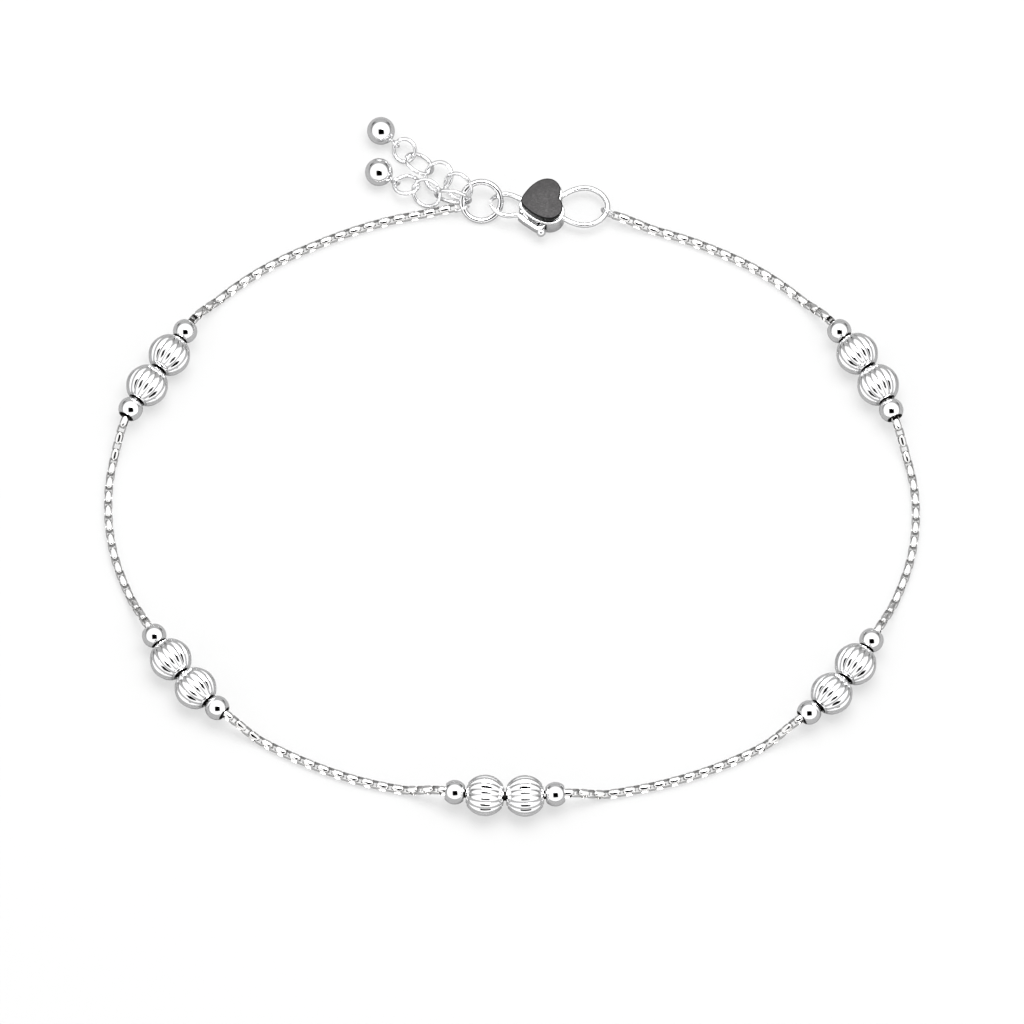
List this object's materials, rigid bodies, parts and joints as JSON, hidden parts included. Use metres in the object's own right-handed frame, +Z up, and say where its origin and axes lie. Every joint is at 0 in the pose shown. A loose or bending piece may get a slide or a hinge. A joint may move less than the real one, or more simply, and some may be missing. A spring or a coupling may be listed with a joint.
{
  "type": "payal anklet",
  "caption": "Silver payal anklet: a fine box chain loop with groups of fluted and plain beads, a heart clasp, a jump ring and short link strands that end in balls",
  "frame": {"origin": "middle of the anklet's box, on the surface it lies on", "axes": "+X across the loop to the bail side, its longest extent; +Y from the bottom bead group to the clasp; +Z up, its shortest extent"},
  "size_m": [0.0818, 0.0758, 0.0041],
  "materials": {
    "silver": "mirror polished silver with faint handling marks",
    "dark_plate": "dark gunmetal plate, satin mottled face and polished bevelled edge"
  },
  "bodies": {
    "anklet": {"box_chain": "silver", "end_link_bail": "silver", "end_link_ring": "silver", "fluted_bead_upper_right_1": "silver", "fluted_bead_upper_right_2": "silver", "plain_bead_upper_right_1": "silver", "plain_bead_upper_right_2": "silver", "fluted_bead_lower_right_1": "silver", "fluted_bead_lower_right_2": "silver", "plain_bead_lower_right_1": "silver", "plain_bead_lower_right_2": "silver", "fluted_bead_bottom_1": "silver", "fluted_bead_bottom_2": "silver", "plain_bead_bottom_1": "silver", "plain_bead_bottom_2": "silver", "fluted_bead_lower_left_1": "silver", "fluted_bead_lower_left_2": "silver", "plain_bead_lower_left_1": "silver", "plain_bead_lower_left_2": "silver", "fluted_bead_upper_left_1": "silver", "fluted_bead_upper_left_2": "silver", "plain_bead_upper_left_1": "silver", "plain_bead_upper_left_2": "silver", "jump_ring": "silver", "link_upper_1": "silver", "link_upper_2": "silver", "link_upper_3": "silver", "link_upper_4": "silver", "drop_ball_upper": "silver", "link_lower_1": "silver", "link_lower_2": "silver", "link_lower_3": "silver", "drop_ball_lower": "silver", "clasp_body": "silver", "heart_plate": "dark_plate"},
    "lever": {"clasp_lever": "silver"}
  },
  "joints": [
    {"name": "lever_hinge", "type": "hinge", "parent": "anklet", "child": "lever", "pos_m": [0.00399, 0.02711, 0.00143], "axis": [0, 0, -1], "range_deg": [0, 6], "stiffness_Nm_per_rad": 0.0002}
  ]
}
